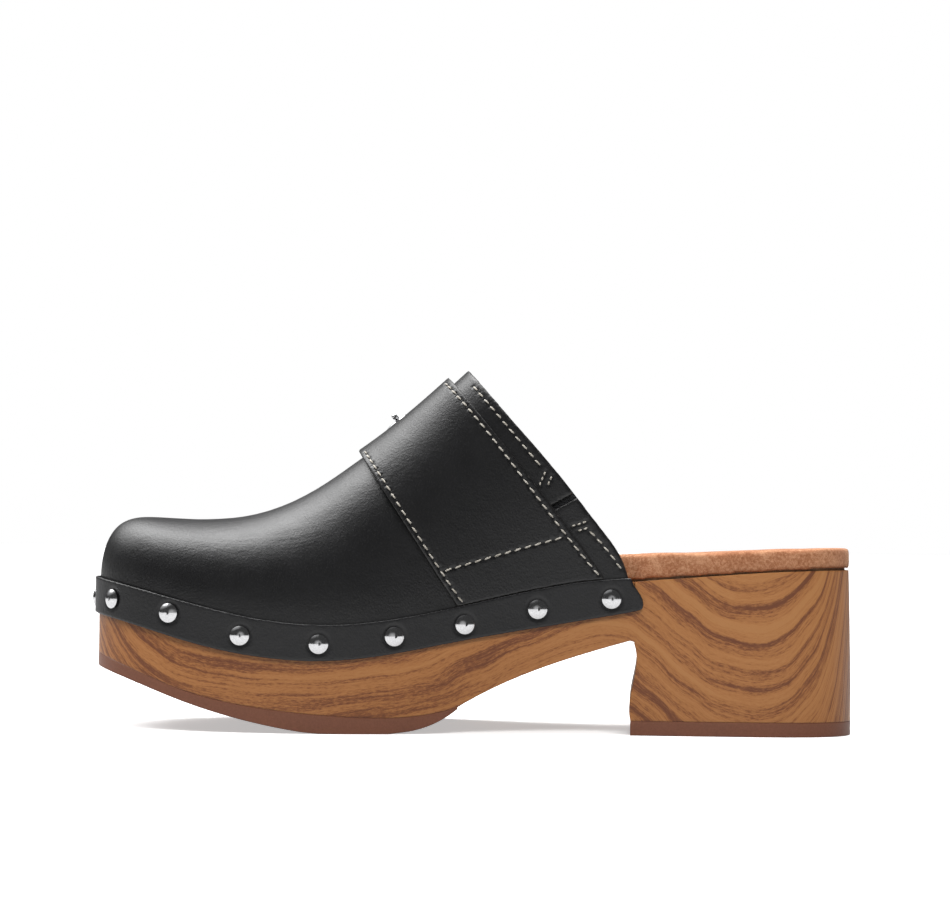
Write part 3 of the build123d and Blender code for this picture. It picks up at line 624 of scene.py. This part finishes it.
# ---- floor, light and camera -------------------------------------------------------------------
def floor():
    """A wide floor that the shoe stands on: white to the eye, darker where it lights the shoe."""
    mesh = bpy.data.meshes.new("floor")
    reach = 30
    corners = [(-reach, -reach, 0), (reach, -reach, 0), (reach, reach, 0), (-reach, reach, 0)]
    mesh.from_pydata(corners, [], [(0, 1, 2, 3)])
    obj = new_object("floor", mesh)
    material, tree, shader = material_nodes("floor_paper")
    shader.inputs["Roughness"].default_value = 0.85
    shader.inputs["Specular IOR Level"].default_value = 0.2
    path = add(tree, "ShaderNodeLightPath").outputs
    link(tree, mix(tree, path["Is Camera Ray"], (0.25, 0.25, 0.25), (0.93, 0.93, 0.93)),
         shader.inputs["Base Color"])
    shader.inputs["Emission Color"].default_value = (1, 1, 1, 1)
    mirrored = calc(tree, "MULTIPLY", path["Is Glossy Ray"], 0.65)
    glow = calc(tree, "MULTIPLY_ADD", path["Is Camera Ray"], 0.45, mirrored)
    link(tree, glow, shader.inputs["Emission Strength"])
    mesh.materials.append(material)


def area_light(name, place, size, power, mirrored=True):
    """A soft rectangular light aimed at the shoe, which shiny surfaces mirror or not."""
    light = bpy.data.lights.new(name, "AREA")
    light.shape = "RECTANGLE"
    light.size, light.size_y = size
    light.energy = power
    obj = bpy.data.objects.new(name, light)
    obj.location = place
    obj.visible_glossy = mirrored
    obj.rotation_euler = (Vector(SHOE) - Vector(place)).to_track_quat("-Z", "Y").to_euler()
    bpy.context.scene.collection.objects.link(obj)


GLOW_FROM = (-0.42, 0.28, 0.86)    # the direction of the brightest place in the surround
GLOW_STRENGTH = 4.6


def backdrop():
    """A white surround to the eye; the shoe sees a soft glow above and a faint one in front."""
    world = bpy.data.worlds.new("surround")
    world.use_nodes = True
    tree = world.node_tree
    background = tree.nodes["Background"]
    way = add(tree, "ShaderNodeTexCoord")
    parts = add(tree, "ShaderNodeSeparateXYZ")
    link(tree, way.outputs["Generated"], parts.inputs[0])
    towards = add(tree, "ShaderNodeVectorMath", operation="DOT_PRODUCT")
    towards.inputs[1].default_value = GLOW_FROM
    link(tree, way.outputs["Generated"], towards.inputs[0])
    above = ramp(tree, towards.outputs["Value"], (0.62, (0.012, 0.012, 0.012)), (0.82, (0.10, 0.10, 0.10)),
                 (0.95, (1.0, 1.0, 1.0)))
    ahead = calc(tree, "MULTIPLY", parts.outputs["Y"], -1)
    glow = calc(tree, "ADD", above, ramp(tree, ahead, (0.84, (0, 0, 0)), (1.0, (0.11, 0.11, 0.11))))
    seen = add(tree, "ShaderNodeLightPath").outputs["Is Camera Ray"]
    link(tree, mix(tree, seen, glow, (1.0, 1.0, 1.0)), background.inputs["Color"])
    less = calc(tree, "MULTIPLY", seen, GLOW_STRENGTH - 1)
    link(tree, calc(tree, "SUBTRACT", GLOW_STRENGTH, less), background.inputs["Strength"])
    bpy.context.scene.world = world


EYE = (-0.0922, -0.950, 0.063)
LENS = 103.7
TILT = math.radians(1.96)
ROLL = math.radians(0.7)


def camera():
    """The camera at the photograph's viewing angle."""
    data = bpy.data.cameras.new("camera")
    data.lens = LENS
    data.sensor_width = 36
    data.clip_start = 0.01
    data.clip_end = 100
    obj = bpy.data.objects.new("camera", data)
    level = math.radians(90)
    turn = Matrix.Rotation(level + TILT, 4, "X") @ Matrix.Rotation(ROLL, 4, "Z")
    obj.matrix_world = Matrix.Translation(EYE) @ turn
    bpy.context.scene.collection.objects.link(obj)
    bpy.context.scene.camera = obj


floor()
backdrop()
camera()
SHOE = (-0.09, 0, 0.06)
area_light("top", (-0.15, 0.25, 1.1), (1.2, 0.6), 12)
area_light("left", (-1.1, -0.20, 1.0), (0.4, 0.4), 5, mirrored=False)
area_light("front", (0.25, -1.15, 1.35), (0.9, 0.6), 23, mirrored=False)
bpy.context.scene.view_settings.view_transform = "Standard"
